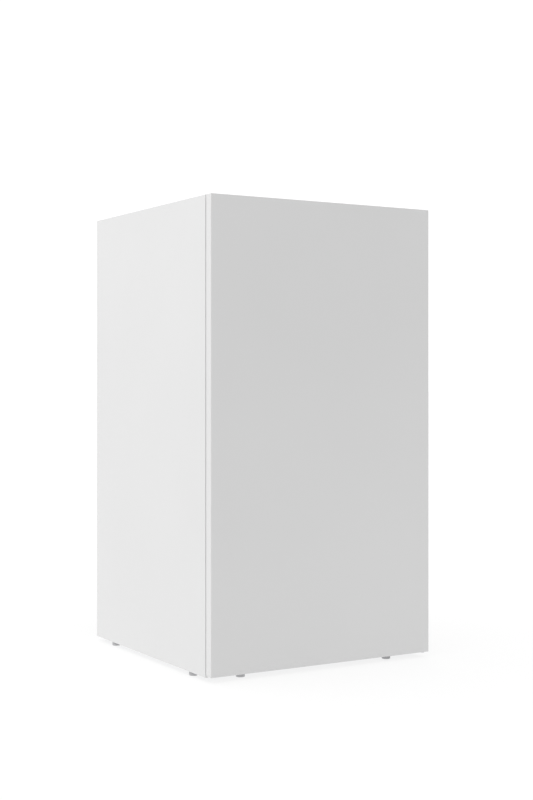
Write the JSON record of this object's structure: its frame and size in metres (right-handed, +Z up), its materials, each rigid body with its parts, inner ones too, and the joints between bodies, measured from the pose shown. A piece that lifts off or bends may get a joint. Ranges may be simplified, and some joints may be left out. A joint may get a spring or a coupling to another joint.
{
  "type": "mini fridge",
  "caption": "Plain white table-top refrigerator: foamed cabinet, right-hinged slab door with racks, ice box, glass shelves, crisper drawer, rear condenser and compressor.",
  "frame": {"origin": "On the floor under the middle of the whole fridge, door included", "axes": "+Z up; -Y out of the door; +X to the right of someone facing the door"},
  "size_m": [0.47, 0.486, 0.85],
  "materials": {
    "white_paint": "satin",
    "white_plastic": "satin",
    "clear_plastic": "gloss",
    "shelf_glass": "polished",
    "lamp_glass": "gloss",
    "zinc_sheet": "satin",
    "evaporator_aluminium": "satin",
    "copper_pipe": "satin",
    "black_paint": "satin",
    "black_iron": "satin",
    "black_plastic": "matte",
    "grey_foot_plastic": "matte",
    "gasket_rubber": "matte",
    "insulation_foam": "matte"
  },
  "bodies": {
    "cabinet": {"cabinet_shell": "white_paint", "inner_liner": "white_plastic", "foam_block": "insulation_foam", "back_panel": "zinc_sheet", "machine_bay_plate": "zinc_sheet", "base_pan": "zinc_sheet", "rear_crossbar": "zinc_sheet", "cable_gland": "black_plastic", "foot_side_front_left": "grey_foot_plastic", "foot_side_front_right": "grey_foot_plastic", "foot_side_rear_left": "grey_foot_plastic", "foot_side_rear_right": "grey_foot_plastic", "foot_rear_left": "grey_foot_plastic", "foot_rear_right": "grey_foot_plastic", "top_hinge": "zinc_sheet", "bottom_hinge": "zinc_sheet", "shelf_upper": "shelf_glass", "shelf_upper_trim": "white_plastic", "shelf_lower": "shelf_glass", "shelf_lower_trim": "white_plastic", "crisper_cover": "shelf_glass", "evaporator": "evaporator_aluminium", "icebox_frame": "white_plastic", "drip_tray": "white_plastic", "thermostat_housing": "white_plastic", "lamp": "lamp_glass", "lamp_cover": "clear_plastic", "light_switch_body": "white_plastic", "compressor": "black_iron", "compressor_grommet_front_left": "black_plastic", "compressor_grommet_front_right": "black_plastic", "compressor_grommet_rear_left": "black_plastic", "compressor_grommet_rear_right": "black_plastic", "relay_box": "black_plastic", "evaporation_tray": "black_plastic", "suction_line": "copper_pipe", "discharge_line": "copper_pipe", "condenser_coil": "black_paint", "condenser_bracket_left": "black_paint", "condenser_bracket_right": "black_paint", "filter_drier": "copper_pipe"},
    "door": {"door_panel": "white_paint", "door_foam": "insulation_foam", "door_liner": "white_plastic", "door_gasket": "gasket_rubber", "door_top_cap": "white_plastic", "door_bottom_cap": "white_plastic", "top_hinge_bush": "black_plastic", "bottom_hinge_bush": "black_plastic"},
    "rack_bottle_body": {"rack_bottle": "clear_plastic"},
    "rack_middle_body": {"rack_middle": "clear_plastic"},
    "rack_top_body": {"rack_top": "clear_plastic"},
    "icebox_flap_body": {"icebox_flap": "clear_plastic"},
    "crisper_drawer_body": {"crisper_drawer": "clear_plastic"},
    "thermostat_knob_body": {"thermostat_knob": "white_plastic"},
    "switch_plunger": {"light_switch_plunger": "grey_foot_plastic"},
    "foot_front_left_body": {"foot_front_left": "grey_foot_plastic"},
    "foot_front_right_body": {"foot_front_right": "grey_foot_plastic"}
  },
  "joints": [
    {"name": "door_hinge", "type": "hinge", "parent": "cabinet", "child": "door", "pos_m": [0.2291, -0.231, 0.011], "axis": [0, 0, 1], "range_deg": [0, 108]},
    {"name": "icebox_flap_hinge", "type": "hinge", "parent": "cabinet", "child": "icebox_flap_body", "pos_m": [0.184, -0.105, 0.706], "axis": [0, 0, 1], "range_deg": [0, 85]},
    {"name": "crisper_slide", "type": "slide", "parent": "cabinet", "child": "crisper_drawer_body", "axis": [0, -1, 0], "range_m": [0, 0.2]},
    {"name": "light_switch_press", "type": "slide", "parent": "cabinet", "child": "switch_plunger", "axis": [0, -1, 0], "range_m": [0, 0.004]},
    {"name": "thermostat_turn", "type": "hinge", "parent": "cabinet", "child": "thermostat_knob_body", "pos_m": [0.15, -0.025, 0.628], "axis": [-1, 0, 0], "range_deg": [0, 285]},
    {"name": "rack_bottle_lift", "type": "slide", "parent": "door", "child": "rack_bottle_body", "axis": [0, 0, 1], "range_m": [0, 0.018]},
    {"name": "rack_middle_lift", "type": "slide", "parent": "door", "child": "rack_middle_body", "axis": [0, 0, 1], "range_m": [0, 0.018]},
    {"name": "rack_top_lift", "type": "slide", "parent": "door", "child": "rack_top_body", "axis": [0, 0, 1], "range_m": [0, 0.018]},
    {"name": "foot_front_left_screw", "type": "hinge", "parent": "cabinet", "child": "foot_front_left_body", "pos_m": [-0.1585, -0.211, 0], "axis": [0, 0, 1], "continuous": true},
    {"name": "foot_front_right_screw", "type": "hinge", "parent": "cabinet", "child": "foot_front_right_body", "pos_m": [0.1585, -0.211, 0], "axis": [0, 0, 1], "continuous": true}
  ],
  "couplings": [
    {"joint": "icebox_flap_hinge", "follows": "door_hinge", "ratio": 0.787},
    {"joint": "crisper_slide", "follows": "door_hinge", "m_per_rad": 0.106},
    {"joint": "light_switch_press", "follows": "door_hinge", "m_per_rad": 0.0021}
  ]
}
